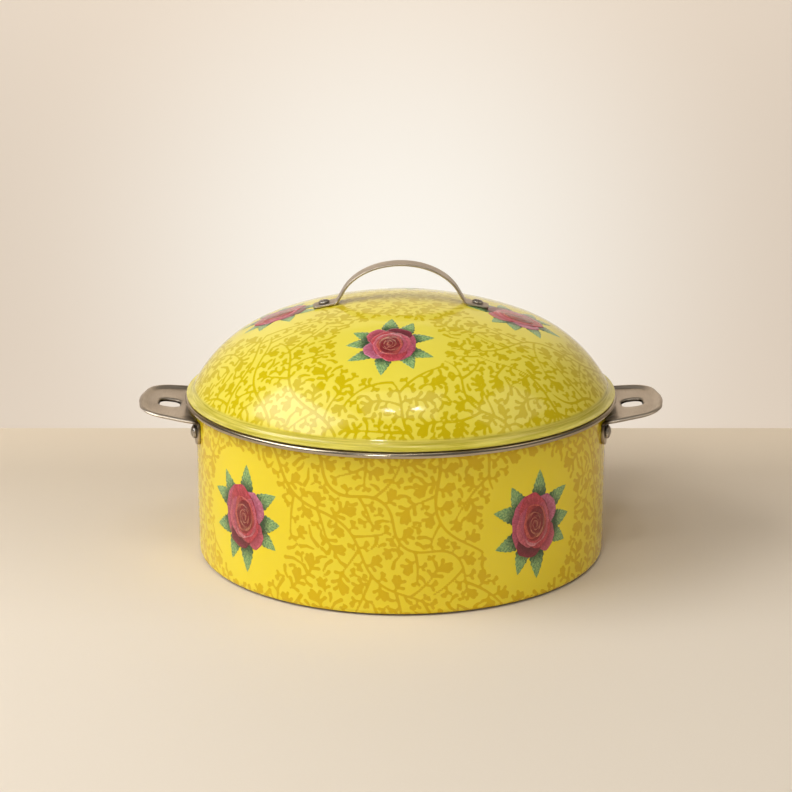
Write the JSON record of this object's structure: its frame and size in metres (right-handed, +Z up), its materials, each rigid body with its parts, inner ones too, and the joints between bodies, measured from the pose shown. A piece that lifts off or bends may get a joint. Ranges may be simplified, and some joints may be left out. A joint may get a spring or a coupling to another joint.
{
  "type": "lidded casserole pot",
  "caption": "Round enamelled steel casserole with a rim band, a domed lift-off lid with a strap handle, and riveted side handles.",
  "frame": {"origin": "centre of the flat base, on the surface that the pot stands on", "axes": "+Z up along the pot's axis, +X out through the right side handle, -Y the front"},
  "size_m": [0.3396, 0.279, 0.1891],
  "materials": {
    "pot_enamel": "gloss enamel with a printed tone-on-tone leaf pattern and rose sprays",
    "lid_enamel": "gloss enamel with a printed tone-on-tone leaf pattern and rose sprays",
    "steel": "satin stainless steel",
    "rivet_steel": "dull stainless steel"
  },
  "bodies": {
    "pot": {"pot_body": "pot_enamel", "pot_rim_band": "steel", "side_handle_left": "steel", "side_handle_right": "steel", "side_rivet_left_front": "rivet_steel", "side_rivet_left_rear": "rivet_steel", "side_rivet_right_front": "rivet_steel", "side_rivet_right_rear": "rivet_steel"},
    "lid": {"lid_shell": "lid_enamel", "lid_handle": "steel", "lid_rivet_left": "rivet_steel", "lid_rivet_right": "rivet_steel"}
  },
  "joints": [
    {"name": "lid_lift", "type": "slide", "parent": "pot", "child": "lid", "axis": [0, 0, 1], "range_m": [0, 0.14]}
  ]
}
